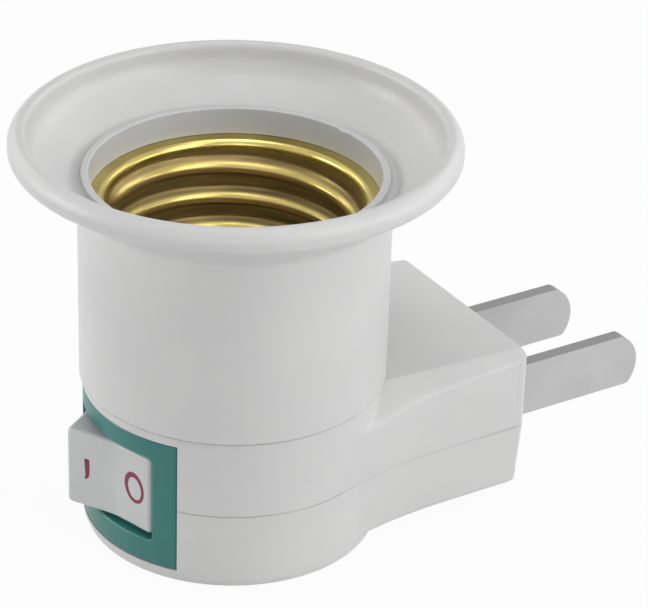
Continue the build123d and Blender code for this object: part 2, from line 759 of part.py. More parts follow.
pieces = [lower_housing.part, upper_housing.part, flared_sleeve.part, socket_floor.part,
          screw_shell.part, centre_contact.part, shell_rivets.part, centre_rivet.part,
          *blades, housing_screws.part, switch_bezel.part, rocker.part, plunger.part,
          plunger_spring, moving_contact.part, moving_contact_head.part,
          fixed_contact_head.part, fixed_terminal.part, common_terminal.part,
          line_strip.part, neutral_strip.part]
for piece in pieces:
    export_step(piece, f"parts/{piece.label}.step")
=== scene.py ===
"""Looks of the lamp socket adapter: materials, mouldings, rolled shell, marks, light and camera."""

import math

import bmesh
import bpy
from mathutils import Matrix, Vector


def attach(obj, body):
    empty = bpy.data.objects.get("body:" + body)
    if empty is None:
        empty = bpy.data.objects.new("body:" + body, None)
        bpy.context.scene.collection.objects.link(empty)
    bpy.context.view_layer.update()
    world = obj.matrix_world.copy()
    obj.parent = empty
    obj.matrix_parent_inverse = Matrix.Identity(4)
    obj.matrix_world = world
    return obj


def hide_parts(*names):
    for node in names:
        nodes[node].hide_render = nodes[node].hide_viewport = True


MM = 0.001
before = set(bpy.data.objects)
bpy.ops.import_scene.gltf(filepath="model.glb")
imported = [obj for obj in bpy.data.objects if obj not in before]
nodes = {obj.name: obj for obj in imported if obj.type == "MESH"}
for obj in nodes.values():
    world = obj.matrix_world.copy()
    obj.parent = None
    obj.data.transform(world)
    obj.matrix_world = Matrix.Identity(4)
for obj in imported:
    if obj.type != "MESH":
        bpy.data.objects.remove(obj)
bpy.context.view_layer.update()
scene = bpy.context.scene

# Sizes in millimetres, close to those of the solids
seam_z = 17.8
sleeve_radius = 16.3
sleeve_inner = 15.1
ring_radius = 16.0
ring_top_z = 41.0
flare_radius = 23.34
disc_top_z = 23.2
sheet = 0.4
shell_radius = 13.35
thread_pitch = 3.629
thread_depth = 1.05
thread_turns = 2.94
thread_start_angle = -94.8
thread_start_z = 25.3
shell_lip_z = 37.96
shell_mouth_radius = 15.2
snap_radius = 15.5
snap_low_z = 37.4
snap_high_z = 38.0
body_radius = 16.0
parting_z = 9.0
arm_blend_radius = 50.0
arm_blend_y = 19.02
arm_root_y = 4.61
arm_half_width = 13.2
ridge_start_y = 5.0
ridge_half_width = 10.0
ridge_spread = 0.0587
shoulder_corner_y = 12.16
hinge_y = -11.33
rocker_low = 4.85
rocker_high = 13.95
rocker_wall = 1.0
rocker_face = 5.46
rocker_end_depth = 5.2
rocker_middle_depth = 4.52
rocker_skirt = 6.67
rocker_tilt = 23.75
stem_radius = 1.7
stem_bore_radius = 0.95
pin_radius = 1.0
pin_length = 1.8
pin_hole_radius = 1.05
switch_z = 9.4
opening_half_width = 7.47
opening_low = 4.45
opening_high = 14.35
opening_corner = 0.5
bezel_outer = 15.95
bezel_thickness = 1.1
frame_wall = 1.1
frame_depth_y = -8.2

# Range that most of a noise stays in
NOISE_RANGE = (0.3, 0.7)


# Nodes for the materials
def feed(tree, socket, value):
    """Links an output to a socket, or sets a plain value on it."""
    if isinstance(value, bpy.types.NodeSocket):
        tree.links.new(value, socket)
    else:
        socket.default_value = value


def calc(tree, operation, *values):
    """Output of a Math node over outputs and plain numbers."""
    node = tree.nodes.new("ShaderNodeMath")
    node.operation = operation
    for socket, value in zip(node.inputs, values):
        feed(tree, socket, value)
    return node.outputs[0]


def blend(tree, factor, first, second, blend_type="MIX"):
    """Colour from the first to the second, each an output or a plain colour."""
    node = tree.nodes.new("ShaderNodeMix")
    node.data_type = "RGBA"
    node.blend_type = blend_type
    feed(tree, node.inputs["Factor"], factor)
    for socket, colour in zip(node.inputs[6:8], (first, second)):
        feed(tree, socket, colour if isinstance(colour, bpy.types.NodeSocket) else (*colour, 1))
    return node.outputs[2]


def new_material(name):
    mat = bpy.data.materials.new(name)
    mat.use_nodes = True
    tree = mat.node_tree
    tree.nodes.clear()
    out = tree.nodes.new("ShaderNodeOutputMaterial")
    shader = tree.nodes.new("ShaderNodeBsdfPrincipled")
    tree.links.new(shader.outputs["BSDF"], out.inputs["Surface"])
    return mat, tree, shader


def painted(mat):
    """Tree, shader and present colour of a material."""
    tree = mat.node_tree
    shader = next(node for node in tree.nodes if node.type == "BSDF_PRINCIPLED")
    return tree, shader, shader.inputs["Base Color"].links[0].from_socket


def noise(tree, scale, detail, stretch=(1, 1, 1)):
    """Noise in object space, in cycles per millimetre along each axis."""
    coords = tree.nodes.new("ShaderNodeTexCoord")
    mapping = tree.nodes.new("ShaderNodeMapping")
    mapping.inputs["Scale"].default_value = [scale / MM * k for k in stretch]
    tex = tree.nodes.new("ShaderNodeTexNoise")
    tex.inputs["Scale"].default_value = 1.0
    tex.inputs["Detail"].default_value = detail
    tex.inputs["Roughness"].default_value = 0.5
    tree.links.new(coords.outputs["Object"], mapping.inputs["Vector"])
    tree.links.new(mapping.outputs["Vector"], tex.inputs["Vector"])
    return tex.outputs["Fac"]


def ramp(tree, source, low, high, a, b):
    """Colours from a to b while the source goes from low to high."""
    node = tree.nodes.new("ShaderNodeValToRGB")
    for element, place, colour in zip(node.color_ramp.elements, (low, high), (a, b)):
        element.position = place
        element.color = (*colour, 1)
    tree.links.new(source, node.inputs["Fac"])
    return node.outputs["Color"]


def span(tree, source, low, high, a, b):
    """Value from a to b while the source goes from low to high."""
    node = tree.nodes.new("ShaderNodeMapRange")
    for name, value in (("From Min", low), ("From Max", high), ("To Min", a), ("To Max", b)):
        node.inputs[name].default_value = value
    tree.links.new(source, node.inputs["Value"])
    return node.outputs["Result"]


def bump(tree, shader, source, distance, strength):
    node = tree.nodes.new("ShaderNodeBump")
    node.inputs["Distance"].default_value = distance * MM
    node.inputs["Strength"].default_value = strength
    tree.links.new(source, node.inputs["Height"])
    tree.links.new(node.outputs["Normal"], shader.inputs["Normal"])


def coordinate(tree, source, axis):
    """One coordinate of a point (source Object) or of its normal (source Normal), in object space."""
    coords = tree.nodes.new("ShaderNodeTexCoord")
    split = tree.nodes.new("ShaderNodeSeparateXYZ")
    tree.links.new(coords.outputs[source], split.inputs["Vector"])
    return split.outputs[axis]


def axis_distance(tree):
    """Distance of a point from the upright axis."""
    coords = tree.nodes.new("ShaderNodeTexCoord")
    flat = tree.nodes.new("ShaderNodeVectorMath")
    flat.operation = "MULTIPLY"
    flat.inputs[1].default_value = (1, 1, 0)
    length = tree.nodes.new("ShaderNodeVectorMath")
    length.operation = "LENGTH"
    tree.links.new(coords.outputs["Object"], flat.inputs[0])
    tree.links.new(flat.outputs["Vector"], length.inputs[0])
    return length.outputs["Value"]


def moulded_plastic(name, low, high, rough_low, rough_high, grain=0.006, subsurface=0.0):
    """Moulded plastic: faint flow marks in the colour, fine skin and uneven gloss."""
    mat, tree, shader = new_material(name)
    flow = noise(tree, 0.09, 4.0)
    tree.links.new(ramp(tree, flow, *NOISE_RANGE, low, high), shader.inputs["Base Color"])
    gloss = noise(tree, 0.5, 5.0)
    tree.links.new(span(tree, gloss, *NOISE_RANGE, rough_low, rough_high), shader.inputs["Roughness"])
    bump(tree, shader, noise(tree, 3.5, 3.0), grain, 0.35)
    shader.inputs["Subsurface Weight"].default_value = subsurface
    shader.inputs["Subsurface Radius"].default_value = (1.0, 1.0, 1.0)
    shader.inputs["Subsurface Scale"].default_value = 0.9 * MM
    shader.inputs["IOR"].default_value = 1.49
    return mat


def joint_line(mat, middle, half, depth, least):
    """Thin dark line of dust where two mouldings meet, a little uneven along its length."""
    tree, shader, plain = painted(mat)
    uneven = noise(tree, 0.55, 4.0, (1, 1, 0.05))
    shift = span(tree, uneven, 0.25, 0.75, -0.05 * MM, 0.05 * MM)
    height = calc(tree, "ADD", coordinate(tree, "Object", "Z"), shift)
    off = calc(tree, "ABSOLUTE", calc(tree, "SUBTRACT", height, middle * MM))
    line = span(tree, off, half * 0.35 * MM, half * MM, depth, 0.0)
    worn = span(tree, noise(tree, 0.11, 3.0), 0.38, 0.6, least, 1.0)
    dust = (0.21, 0.21, 0.2016)
    dusty = blend(tree, calc(tree, "MULTIPLY", line, worn), plain, dust)
    tree.links.new(dusty, shader.inputs["Base Color"])


def painted_inner_shade(mat, radius, low_z, shade_tint):
    """Painted cool shade inside a radius and above a height, a little darker and bluer."""
    tree, shader, plain = painted(mat)
    within = span(tree, axis_distance(tree), (radius + 0.05) * MM, (radius + 0.25) * MM, 1.0, 0.0)
    above = span(tree, coordinate(tree, "Object", "Z"), (low_z - 0.5) * MM, low_z * MM, 0.0, 1.0)
    # painted cool shade, multiplied into the colour
    shaded_colour = blend(tree, calc(tree, "MULTIPLY", within, above), plain, shade_tint, "MULTIPLY")
    tree.links.new(shaded_colour, shader.inputs["Base Color"])


def rolled_metal(name, low, high, rough_low, rough_high, stretch=(1, 1, 1), scale=2.0):
    """Metal with drawing lines along one direction and a faint tarnish."""
    mat, tree, shader = new_material(name)
    shader.inputs["Metallic"].default_value = 1.0
    tarnish = noise(tree, 0.16, 5.0)
    tree.links.new(ramp(tree, tarnish, 0.32, 0.68, low, high), shader.inputs["Base Color"])
    lines = noise(tree, scale, 6.0, stretch)
    tree.links.new(span(tree, lines, *NOISE_RANGE, rough_low, rough_high), shader.inputs["Roughness"])
    bump(tree, shader, lines, 0.004, 0.5)
    return mat


def painted_edge_shade(mat, colour):
    """Painted shade: darker narrow faces on a strip whose flat faces look along X."""
    tree, shader, plain = painted(mat)
    side = calc(tree, "ABSOLUTE", coordinate(tree, "Normal", "X"))
    # painted shade on the narrow faces, whose normals lie away from X
    cut = span(tree, side, 0.45, 0.8, 1.0, 0.0)
    tree.links.new(blend(tree, cut, plain, colour), shader.inputs["Base Color"])


def painted_thread_shade(mat, colour, deep_shade_colour):
    """Painted shade and reflection in the thread: brown on its upright parts, darker away from the
    axis, in streaky patches, none at the mouth.
    """
    shade_roughness, shade_metal = 0.24, 0.35
    tree, shader, plain = painted(mat)
    upright = span(tree, coordinate(tree, "Normal", "Z"), 0.3, 0.64, 1.0, 0.0)
    deep_shade = span(tree, axis_distance(tree), 12.62 * MM, 12.95 * MM, 0.0, 0.9)
    patchy = span(tree, noise(tree, 2.4, 5.0, (0.06, 0.06, 1)), *NOISE_RANGE, 0.55, 1.0)
    below = span(tree, coordinate(tree, "Object", "Z"),
                 (shell_lip_z - 1.4) * MM, (shell_lip_z - 0.7) * MM, 1.0, 0.0)
    # painted shade and reflection: brown where the thread stands upright or lies deep, in streaks, none
    # at the mouth
    shade_mask = calc(tree, "MULTIPLY", calc(tree, "MAXIMUM", upright, deep_shade), patchy)
    shade_mask = calc(tree, "MULTIPLY", shade_mask, below)
    rough = shader.inputs["Roughness"].links[0].from_socket
    tree.links.new(calc(tree, "MULTIPLY_ADD", shade_mask, shade_roughness, rough), shader.inputs["Roughness"])
    tree.links.new(span(tree, shade_mask, 0.0, 1.0, 1.0, shade_metal), shader.inputs["Metallic"])
    shade_brown = blend(tree, deep_shade, colour, deep_shade_colour)
    tree.links.new(blend(tree, shade_mask, plain, shade_brown), shader.inputs["Base Color"])


white_look = ((0.60, 0.60, 0.60), (0.63, 0.63, 0.625), 0.34, 0.44)
white_mat = moulded_plastic("white_plastic", *white_look, subsurface=0.12)
rocker_mat = moulded_plastic("rocker_plastic", (0.545, 0.55, 0.555), (0.58, 0.585, 0.585),
                             0.32, 0.4, subsurface=0.1)
sleeve_mat = moulded_plastic("sleeve_plastic", *white_look, subsurface=0.12)
joint_line(sleeve_mat, seam_z + 0.04, 0.17, 0.8, least=0.85)
# painted cool shade, slightly darker and bluer, on the inner wall of the ring
painted_inner_shade(sleeve_mat, sleeve_inner, 36.0, (0.93, 0.955, 1.0))
housing_mat = moulded_plastic("housing_plastic", *white_look, subsurface=0.12)
joint_line(housing_mat, parting_z, 0.11, 0.6, least=0.25)
inner_mat = moulded_plastic("inner_plastic", (0.5, 0.5, 0.48), (0.56, 0.56, 0.53), 0.45, 0.55)
teal_mat = moulded_plastic("teal_plastic", (0.020, 0.152, 0.134), (0.026, 0.182, 0.160),
                           0.34, 0.42, grain=0.003, subsurface=0.2)
print_mat = moulded_plastic("mark_print", (0.16, 0.018, 0.042), (0.21, 0.028, 0.058),
                            0.5, 0.62, grain=0.004)
shell_mat = rolled_metal("shell_brass", (0.47, 0.37, 0.115), (0.57, 0.46, 0.155),
                         0.18, 0.29, (0.25, 0.25, 3.0), 1.6)
# brown painted shade and reflection on the thread's upright parts and deep grooves
painted_thread_shade(shell_mat, (0.34, 0.215, 0.08), (0.14, 0.086, 0.034))
strip_mat = rolled_metal("strip_brass", (0.55, 0.38, 0.13), (0.68, 0.49, 0.19), 0.28, 0.4, (1, 0.2, 1))
rivet_mat = rolled_metal("rivet_brass", (0.6, 0.43, 0.13), (0.72, 0.54, 0.19), 0.22, 0.34)
blade_mat = rolled_metal("blade_metal", (0.48, 0.48, 0.485), (0.52, 0.52, 0.525),
                         0.42, 0.52, (3.0, 0.12, 3.0), 1.5)
# painted shade on the narrow faces of the blades
painted_edge_shade(blade_mat, (0.26, 0.26, 0.26))
contact_mat = rolled_metal("contact_metal", (0.72, 0.71, 0.68), (0.8, 0.79, 0.77), 0.25, 0.36)
spring_mat = rolled_metal("spring_steel", (0.34, 0.34, 0.35), (0.46, 0.46, 0.46), 0.24, 0.36)
screw_mat = rolled_metal("screw_steel", (0.42, 0.42, 0.42), (0.54, 0.54, 0.53), 0.26, 0.4)

node_materials = {
    "flared_sleeve": sleeve_mat, "upper_housing": housing_mat, "lower_housing": housing_mat,
    "socket_floor": white_mat, "screw_shell": shell_mat, "centre_contact": shell_mat,
    "centre_rivet": rivet_mat, "shell_rivets": rivet_mat, "switch_bezel": teal_mat,
    "rocker": rocker_mat, "plunger": inner_mat, "plunger_spring": spring_mat,
    "moving_contact": strip_mat, "moving_contact_head": contact_mat,
    "fixed_contact_head": contact_mat, "common_terminal": strip_mat,
    "fixed_terminal": strip_mat, "line_strip": strip_mat, "neutral_strip": strip_mat,
    "blade_left": blade_mat, "blade_right": blade_mat, "housing_screws": screw_mat,
}
for name, mat in node_materials.items():
    nodes[name].data.materials.clear()
    nodes[name].data.materials.append(mat)


# Building pieces
def finish_piece(name, mesh, mat, body, node=None, sharp=32):
    mesh.materials.append(mat)
    mesh.shade_smooth()
    mesh.set_sharp_from_angle(angle=math.radians(sharp))
    piece = bpy.data.objects.new(name, mesh)
    scene.collection.objects.link(piece)
    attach(piece, body)
    if node:
        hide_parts(node)
    return piece


def rounded(corners, chords):
    """Corner points (x, y, radius) with each rounded corner drawn as an arc."""
    points = []
    for index, (x, y, radius) in enumerate(corners):
        here = Vector((x, y))
        if not radius:
            points.append((x, y))
            continue
        back = (Vector(corners[index - 1][:2]) - here).normalized()
        ahead = (Vector(corners[(index + 1) % len(corners)][:2]) - here).normalized()
        half = back.angle(ahead) / 2
        centre = here + (back + ahead).normalized() * (radius / math.sin(half))
        first = here + back * (radius / math.tan(half)) - centre
        last = here + ahead * (radius / math.tan(half)) - centre
        start = math.atan2(first.y, first.x)
        turn = (math.atan2(last.y, last.x) - start + math.pi) % (2 * math.pi) - math.pi
        for step in range(chords + 1):
            angle = start + turn * step / chords
            points.append((centre.x + radius * math.cos(angle), centre.y + radius * math.sin(angle)))
    return points


def turned(name, profile, segments, shape):
    """Closed turning of a profile of radius and height, with each point moved by shape."""
    count = len(profile)
    verts, faces = [], []
    for i in range(segments):
        angle = 2 * math.pi * i / segments
        for k, (r, z) in enumerate(profile):
            r, z = shape(angle, r, z)
            verts.append((r * math.cos(angle) * MM, r * math.sin(angle) * MM, z * MM))
    for i in range(segments):
        a = i * count
        b = ((i + 1) % segments) * count
        for k in range(count):
            n = (k + 1) % count
            faces.append((a + k, b + k, b + n, a + n))
    return closed_mesh(name, verts, faces)


def closed_mesh(name, verts, faces):
    """Closed mesh with its faces turned outwards."""
    mesh = bpy.data.meshes.new(name)
    mesh.from_pydata(verts, [], faces)
    mesh.update()
    work = bmesh.new()
    work.from_mesh(mesh)
    bmesh.ops.recalc_face_normals(work, faces=work.faces)
    if work.calc_volume(signed=True) < 0:
        bmesh.ops.reverse_faces(work, faces=work.faces)
    work.to_mesh(mesh)
    work.free()
    return mesh


def evaluated(obj):
    """New mesh of an object with its modifiers applied."""
    bpy.context.view_layer.update()
    return bpy.data.meshes.new_from_object(obj.evaluated_get(bpy.context.evaluated_depsgraph_get()))


def softened(node, name, mat, body, width):
    """The node's own form with its sharp edges rounded."""
    least_angle, flat_angle = math.radians(28), math.radians(0.4)
    work = bmesh.new()
    work.from_mesh(nodes[node].data)
    bmesh.ops.remove_doubles(work, verts=work.verts, dist=1e-7)
    bmesh.ops.dissolve_limit(work, angle_limit=flat_angle, verts=work.verts, edges=work.edges)
    mesh = bpy.data.meshes.new(name)
    work.to_mesh(mesh)
    work.free()
    mesh.materials.clear()
    helper = bpy.data.objects.new(name + "_raw", mesh)
    scene.collection.objects.link(helper)
    bevel = helper.modifiers.new("soft_edges", "BEVEL")
    bevel.limit_method = "ANGLE"
    bevel.angle_limit = least_angle
    bevel.width = width * MM
    bevel.segments = 3
    bevel.use_clamp_overlap = True
    bevel.loop_slide = False
    bevel.miter_outer = "MITER_ARC"
    done = evaluated(helper)
    bpy.data.objects.remove(helper)
    bpy.data.meshes.remove(mesh)
    done.name = name
    piece = finish_piece(name, done, mat, body, node)
    even = piece.modifiers.new("even_shading", "WEIGHTED_NORMAL")
    even.keep_sharp = True
    even.weight = 80


def combined(name, first, *rest):
    """First mesh with the others joined to it or cut from it, each given as (operation, mesh)."""
    helper = bpy.data.objects.new(name + "_raw", first)
    scene.collection.objects.link(helper)
    tools = []
    for operation, mesh in rest:
        tool = bpy.data.objects.new(name + "_tool", mesh)
        scene.collection.objects.link(tool)
        step = helper.modifiers.new("step", "BOOLEAN")
        step.operation = operation
        step.solver = "EXACT"
        step.object = tool
        tools.append(tool)
    done = evaluated(helper)
    bpy.data.objects.remove(helper)
    for tool in tools:
        bpy.data.objects.remove(tool)
    done.name = name
    done.materials.clear()
    return done


def skinned(name, loops, ring=False):
    """Closed mesh over loops of points of one length, capped at both ends or, as a ring, joined up."""
    count = len(loops[0])
    verts = [tuple(v * MM for v in point) for loop in loops for point in loop]
    faces = []
    for row in range(len(loops) if ring else len(loops) - 1):
        a = row * count
        b = ((row + 1) % len(loops)) * count
        for k in range(count):
            n = (k + 1) % count
            faces.append((a + k, a + n, b + n, b + k))
    if not ring:
        faces.append(tuple(range(count)))
        faces.append(tuple(reversed(range(len(verts) - count, len(verts)))))
    return closed_mesh(name, verts, faces)


def round_bar(name, base, along, radius):
    """Round bar from a point along a vector, in millimetres."""
    sides = 40
    base, along = Vector(base), Vector(along)
    across = along.orthogonal().normalized()
    other = along.normalized().cross(across)
    spokes = [(across * math.cos(a) + other * math.sin(a)) * radius
              for a in (2 * math.pi * k / sides for k in range(sides))]
    return skinned(name, [[end + spoke for spoke in spokes] for end in (base, base + along)])


# Flared sleeve, with soft edges and the small gate mark on its inner ring
gate_angle, gate_half_angle, gate_depth = math.radians(102), 0.03, 0.14
sleeve_profile = rounded([
    (sleeve_inner, seam_z, 0.1), (sleeve_radius, seam_z, 0.15),
    (sleeve_radius, 38.6, 1.6),  # neck
    (22.6, 43.1, 0.8), (flare_radius, 43.35, 0.85),  # underside of the flare
    (flare_radius, 45.0, 1.5), (21.57, 46.38, 0.7),  # lip
    (21.2, 43.0, 3.0), (ring_radius, 39.8, 0.6),  # dish and groove
    (ring_radius, ring_top_z, 0.22), (sleeve_inner, ring_top_z, 0.2),
    (sleeve_inner, snap_high_z, 0), (snap_radius, snap_high_z, 0),
    (snap_radius, snap_low_z, 0), (sleeve_inner, snap_low_z, 0)], 8)


def gate_mark(angle, r, z):
    """Lowers the top of the ring at the gate."""
    off = (angle - gate_angle + math.pi) % (2 * math.pi) - math.pi
    on_top = z > ring_top_z - 0.3 and r < ring_radius + 0.01
    return r, z - gate_depth if on_top and abs(off) < gate_half_angle else z


finish_piece("flared_sleeve_moulded", turned("flared_sleeve_moulded", sleeve_profile, 224, gate_mark),
             sleeve_mat, "housing", "flared_sleeve")


def eased(t):
    """Smooth step from 0 to 1."""
    t = min(max(t, 0.0), 1.0)
    return t * t * (3 - 2 * t)


# Rolled screw shell
def thread_height(angle, z):
    """How far the helical roll stands inwards from the wall, 0 to 1."""
    half_width, run_out = 1.6, 0.5
    best = 0.0
    last = 2 * math.pi * thread_turns
    turn = (angle - math.radians(thread_start_angle)) % (2 * math.pi)
    while turn <= last:
        crest_z = thread_start_z + thread_pitch * turn / (2 * math.pi)
        off = abs(z - crest_z) / half_width
        if off < 1:
            fade = eased(min(turn, last - turn) / run_out)
            best = max(best, fade * (0.5 + 0.5 * math.cos(math.pi * off)) ** 2.0)
        turn += 2 * math.pi
    return best


def shell_profile():
    """Points of the wall's middle line from the flange to the mouth."""
    half, flange_inner, bend_radius, steps = sheet / 2, 9.2, 0.8, 110
    wall = shell_radius + half
    low, top = disc_top_z + 0.6, shell_lip_z - bend_radius
    line = [(flange_inner + 0.4 * k, disc_top_z + half) for k in range(10)]
    line.append((wall, disc_top_z + half + 0.001))
    line += [(wall, low + (top - low) * k / steps) for k in range(steps + 1)]
    bend = bend_radius - half
    for k in range(1, 9):
        a = math.pi - math.pi / 2 * k / 8
        line.append((shell_radius + bend_radius + bend * math.cos(a), top + bend * math.sin(a)))
    line += [(shell_mouth_radius - inset, shell_lip_z - half) for inset in (0.3, 0.05)]
    return line


def rolled_shell(name):
    """Wall of one thickness along the profile, with the helical roll pressed inwards."""
    segments = 240
    line = shell_profile()
    count = len(line)
    verts, faces = [], []
    for i in range(segments):
        angle = 2 * math.pi * i / segments
        pushed = []
        for r, z in line:
            if disc_top_z + 0.5 < z < shell_lip_z - 0.3 and r < shell_radius + 0.4:
                r -= thread_depth * thread_height(angle, z)
            pushed.append(Vector((r, z)))
        inner, outer = [], []
        for k in range(count):
            along = (pushed[min(k + 1, count - 1)] - pushed[max(k - 1, 0)]).normalized()
            side = Vector((-along.y, along.x)) * (sheet / 2)
            inner.append(pushed[k] + side)
            outer.append(pushed[k] - side)
        tip = pushed[-1] + Vector((0.05, 0))
        for p in inner + [tip] + outer[::-1]:
            verts.append((p.x * math.cos(angle) * MM, p.x * math.sin(angle) * MM, p.y * MM))
    size = 2 * count + 1
    for i in range(segments):
        a = i * size
        b = ((i + 1) % segments) * size
        for k in range(size):
            n = (k + 1) % size
            faces.append((a + k, b + k, b + n, a + n))
    return closed_mesh(name, verts, faces)


finish_piece("screw_shell_rolled", rolled_shell("screw_shell_rolled"), shell_mat, "housing",
             "screw_shell", sharp=50)


# Arm sides: the slope of each shoulder starts at the body's rim and runs out on the arm's wall
def wall_x(y):
    """Half width of the body and arm at y."""
    if y < arm_root_y:
        return math.sqrt(body_radius ** 2 - y ** 2)
    if y >= arm_blend_y:
        return arm_half_width
    return arm_half_width + arm_blend_radius - math.sqrt(arm_blend_radius ** 2 - (arm_blend_y - y) ** 2)


def ridge_x(y):
    """Half width of the arm's flat top at y."""
    return ridge_half_width + (y - ridge_start_y) * ridge_spread


def soft_max(a, b, width):
    """The larger of two numbers, with a smooth change between them."""
    return (a + b + math.sqrt((a - b) ** 2 + width ** 2)) / 2


def curve_points(before, corner, after, count):
    """Points that round a corner between two points."""
    return [before * (1 - t) ** 2 + corner * (2 * t * (1 - t)) + after * t ** 2
            for t in (k / (count - 1) for k in range(count))]


def arm_side(name, side, end_y):
    """Thin skin just outside the slope and wall of one side, which sinks in at both ends."""
    start_y, fan_end_y, corner_end_y, steps = 4.3, 9.0, 15.0, 130
    lift, sink_start, sink_end, thickness = 0.012, 0.045, 0.03, 0.45
    slope_drop, drop_loss, slope_low_z = 5.6, 0.16, 15.15
    loops = []
    for k in range(steps + 1):
        y = start_y + (end_y - start_y) * k / steps
        if y < fan_end_y:
            run = eased((y - start_y) / (fan_end_y - start_y))
            inner_y = start_y + (shoulder_corner_y - start_y) * run
        else:
            run = max((y - corner_end_y) / (end_y - corner_end_y), 0)
            inner_y = shoulder_corner_y + (end_y - shoulder_corner_y) * run ** 1.25
        inner_x = (math.sqrt(body_radius ** 2 - inner_y ** 2) if inner_y < shoulder_corner_y
                   else ridge_x(inner_y))
        drop = slope_drop - (y - ridge_start_y) * drop_loss
        built_low = seam_z - drop * (wall_x(y) - ridge_x(y)) / (body_radius - ridge_x(y))
        soft = 1.1 - 0.75 * eased((y - 12.0) / 13.0)
        low = soft_max(slope_low_z, built_low + 0.34 * soft, 0.35) + lift
        out = (lift - sink_start * (1 - eased((y - start_y) / 1.6))
               - sink_end * (1 - eased((end_y - y) / 0.8)))
        ridge = Vector((inner_x, inner_y, seam_z + lift))
        edge = Vector((wall_x(y) + out, y, low))
        foot = Vector((edge.x, y, parting_z + 0.13))
        slope = edge - ridge
        down = edge + Vector((0, 0, -0.3 * soft))
        back = edge - slope * min(1.6 * soft / slope.length, 0.6)
        crest = ridge + slope * min(0.5 / slope.length, 0.3)
        flat = ridge + Vector((-0.5, 0, 0))
        outside = [ridge + Vector((-1.1, 0, 0))] + curve_points(flat, ridge, crest, 6)
        outside += [crest + (back - crest) * (j / 9) for j in range(1, 9)]
        outside += curve_points(back, edge, down, 9) + [foot]
        inside = [foot + Vector((-thickness, 0, 0)), Vector((edge.x - thickness, y, low - 1.6)),
                  ridge + Vector((-1.1, 0, -0.5))]
        loops.append([(side * point.x, point.y, point.z) for point in outside + inside])
    finish_piece(name, skinned(name, loops), housing_mat, "housing", sharp=40)


arm_side("arm_side_right", 1, 28.35)
arm_side("arm_side_left", -1, 26.85)

# Mouldings with rounded edges
softened("upper_housing", "upper_housing_moulded", housing_mat, "housing", 0.3)
softened("lower_housing", "lower_housing_moulded", housing_mat, "housing", 0.12)


# Switch bezel: curved plate with rolled edges, its frame, the hinge holes and the two hooks
def frame_loop(half_width, low, high, radius, depth=None, y=None):
    """Loop of points round a rectangle with rounded corners, on the curved face or at one y."""
    chords, runs = 8, 26
    corners = [(half_width - radius, high - radius, 0), (-half_width + radius, high - radius, 90),
               (-half_width + radius, low + radius, 180), (half_width - radius, low + radius, 270)]
    flat = []
    for index, (cx, cz, start) in enumerate(corners):
        for k in range(chords + 1):
            a = math.radians(start + 90 * k / chords)
            flat.append((cx + radius * math.cos(a), cz + radius * math.sin(a)))
        nx, nz, nstart = corners[(index + 1) % 4]
        a = math.radians(nstart)
        last, nxt = flat[-1], (nx + radius * math.cos(a), nz + radius * math.sin(a))
        for k in range(1, runs):
            flat.append((last[0] + (nxt[0] - last[0]) * k / runs,
                         last[1] + (nxt[1] - last[1]) * k / runs))
    return [(x, y if y is not None else -math.sqrt((bezel_outer - depth) ** 2 - x ** 2), z)
            for x, z in flat]


def bezel_plate(name):
    """Plate and frame in one ring of loops, from the back of the outer edge round to it again."""
    edge_w, edge_low, edge_high, edge_r = 9.93, 1.8, 16.62, 0.3
    roll, open_roll, flat_rows = 0.14, 0.28, 6
    loops = [frame_loop(edge_w, edge_low, edge_high, edge_r, depth=bezel_thickness)]
    for k in range(5):
        a = math.pi / 2 * k / 4
        inset = roll * (1 - math.cos(a))
        loops.append(frame_loop(edge_w - inset, edge_low + inset, edge_high - inset, edge_r,
                                depth=roll * (1 - math.sin(a))))
    wide = opening_half_width + open_roll
    for k in range(1, flat_rows):
        t = k / flat_rows
        loops.append(frame_loop((edge_w - roll) * (1 - t) + wide * t,
                                (edge_low + roll) * (1 - t) + (opening_low - open_roll) * t,
                                (edge_high - roll) * (1 - t) + (opening_high + open_roll) * t,
                                edge_r + 0.3 * t, depth=0))
    for k in range(6):
        a = math.pi / 2 * k / 5
        out = open_roll * (1 - math.sin(a))
        loops.append(frame_loop(opening_half_width + out, opening_low - out, opening_high + out,
                                opening_corner + out, depth=open_roll * (1 - math.cos(a))))
    loops.append(frame_loop(opening_half_width, opening_low, opening_high, opening_corner,
                            y=frame_depth_y))
    rim = (opening_half_width + frame_wall, opening_low - frame_wall, opening_high + frame_wall,
           opening_corner)
    loops.append(frame_loop(*rim, y=frame_depth_y))
    loops.append(frame_loop(*rim, depth=bezel_thickness))
    return skinned(name, loops, ring=True)


def hook(side):
    """Wedge on one side of the frame that snaps behind the wall."""
    root, tip, front_y, back_y = side * 8.4, side * 9.17, -10.65, -9.45
    return skinned("hook", [[(root, front_y, z), (tip, front_y, z), (root, back_y, z)]
                            for z in (7.2, 11.6)])


hinge_hole = round_bar("hinge_hole", (0, hinge_y, 2.2), (0, 0, 14.4), pin_hole_radius)
bezel = combined("switch_bezel_moulded", bezel_plate("bezel_plate"), ("UNION", hook(-1)),
                 ("UNION", hook(1)), ("DIFFERENCE", hinge_hole))
finish_piece("switch_bezel_moulded", bezel, teal_mat, "housing", "switch_bezel")

# Rocker: hollow cap with rounded edges, its stem and its two pins
turn = math.radians(rocker_tilt)
along_face = Vector((math.cos(turn), math.sin(turn), 0))
into_body = Vector((-math.sin(turn), math.cos(turn), 0))
hinge = Vector((0, hinge_y, 0))


def rocker_point(u, v, z):
    """Point at u along the rocker's face, v into the body and z up."""
    p = hinge + along_face * u + into_body * v
    return (p.x, p.y, z)


